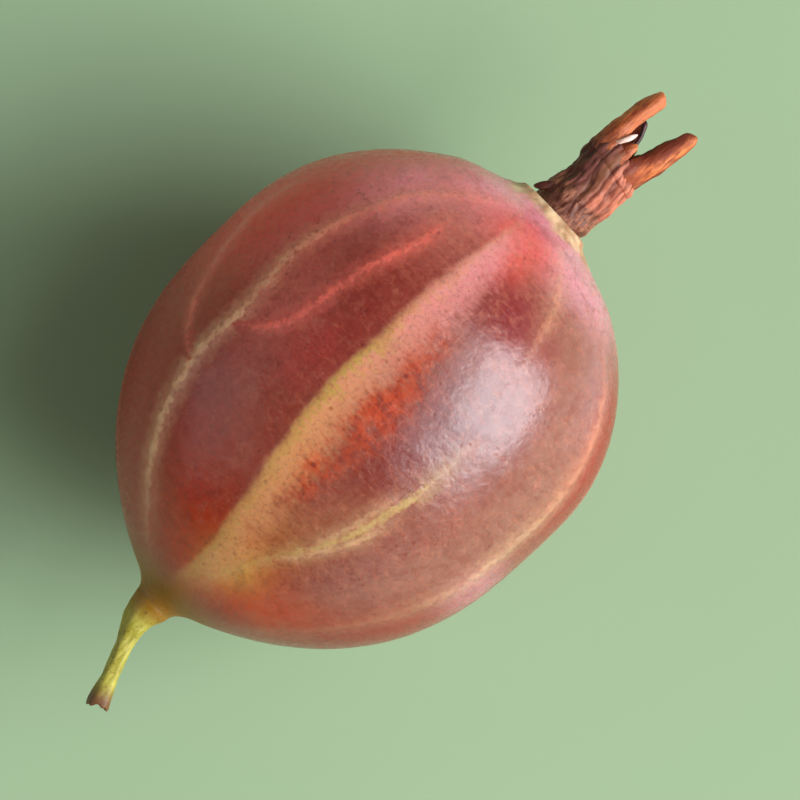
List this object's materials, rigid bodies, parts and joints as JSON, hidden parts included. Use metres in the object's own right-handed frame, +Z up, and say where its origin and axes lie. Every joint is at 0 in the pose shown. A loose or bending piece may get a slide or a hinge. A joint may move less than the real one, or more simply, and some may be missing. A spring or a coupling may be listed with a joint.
{
  "type": "gooseberry",
  "caption": "Ripe red gooseberry as picked: an egg-shaped veined berry with a short bent stalk and the dried flower on its far end, lying on its side as a fruit to eat.",
  "frame": {"origin": "centre of the small flat spot that the berry rests on", "axes": "+X along the berry's long axis from the stalk to the dried flower, +Z up from the surface"},
  "size_m": [0.0331, 0.018, 0.0176],
  "materials": {
    "berry": "waxy skin over translucent red flesh, with pale veins",
    "stalk": "yellow-green, finely ribbed",
    "calyx_tube": "dry and shrivelled, dark brown",
    "sepals": "dry, orange-brown",
    "flower_heart": "dry, pale to dark brown"
  },
  "bodies": {
    "root": {"berry": "berry", "stalk": "stalk", "calyx_tube": "calyx_tube", "sepals": "sepals", "flower_heart": "flower_heart"}
  },
  "joints": []
}
